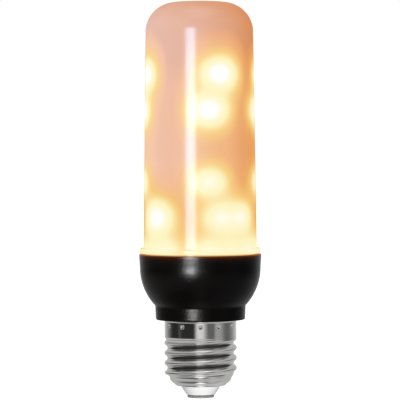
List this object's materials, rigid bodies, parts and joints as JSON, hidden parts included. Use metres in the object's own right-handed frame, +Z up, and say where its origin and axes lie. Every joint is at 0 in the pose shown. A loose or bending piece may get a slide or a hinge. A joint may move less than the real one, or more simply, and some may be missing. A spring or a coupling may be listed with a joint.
{
  "type": "flame effect led bulb",
  "caption": "Tall LED bulb with a frosted tubular cover over rows of flickering LEDs, a black bowl-shaped housing and a screw cap.",
  "frame": {"origin": "middle of the centre contact's flat face, the lowest point of the bulb when it stands cap down", "axes": "+Z up the bulb's axis from the contact to the closed end of the diffuser, -Y towards the viewer of the picture"},
  "size_m": [0.044, 0.044, 0.1421],
  "materials": {
    "frosted_cover": "frosted polycarbonate that glows warm where the LEDs behind it are lit",
    "black_plastic": "satin black with a fine spark-eroded texture",
    "nickel_shell": "bright nickel plate on rolled sheet",
    "white_insulator": "smooth white moulded plastic",
    "contact_metal": "dull nickel plate",
    "white_plastic": "white moulded plastic",
    "screw_steel": "zinc plated steel",
    "core_aluminium": "drawn tube",
    "led_board": "white solder mask with pale yellow LEDs",
    "circuit_board": "green solder mask",
    "chip_resin": "moulded black resin",
    "header_plastic": "natural nylon",
    "capacitor_sleeve": "shrunk plastic sleeve, plain",
    "choke_winding": "varnished winding on a ferrite drum",
    "resistor_body": "flameproof coating, plain",
    "red_wire": "PVC insulation",
    "black_wire": "PVC insulation"
  },
  "bodies": {
    "root": {"diffuser": "frosted_cover", "housing": "black_plastic", "screw_shell": "nickel_shell", "insulator": "white_insulator", "centre_contact": "contact_metal", "core_base": "white_plastic", "base_screw_1": "screw_steel", "base_screw_2": "screw_steel", "base_screw_3": "screw_steel", "led_core": "core_aluminium", "core_cap": "white_plastic", "led_flex_board": "led_board", "control_board": "circuit_board", "controller_chip": "chip_resin", "board_header": "header_plastic", "driver_board": "circuit_board", "smoothing_capacitor": "capacitor_sleeve", "output_capacitor": "capacitor_sleeve", "choke": "choke_winding", "bridge_rectifier": "chip_resin", "driver_chip": "chip_resin", "fuse_resistor": "resistor_body", "live_wire": "red_wire", "neutral_wire": "black_wire", "feed_wire_red": "red_wire", "feed_wire_black": "black_wire"}
  },
  "joints": []
}
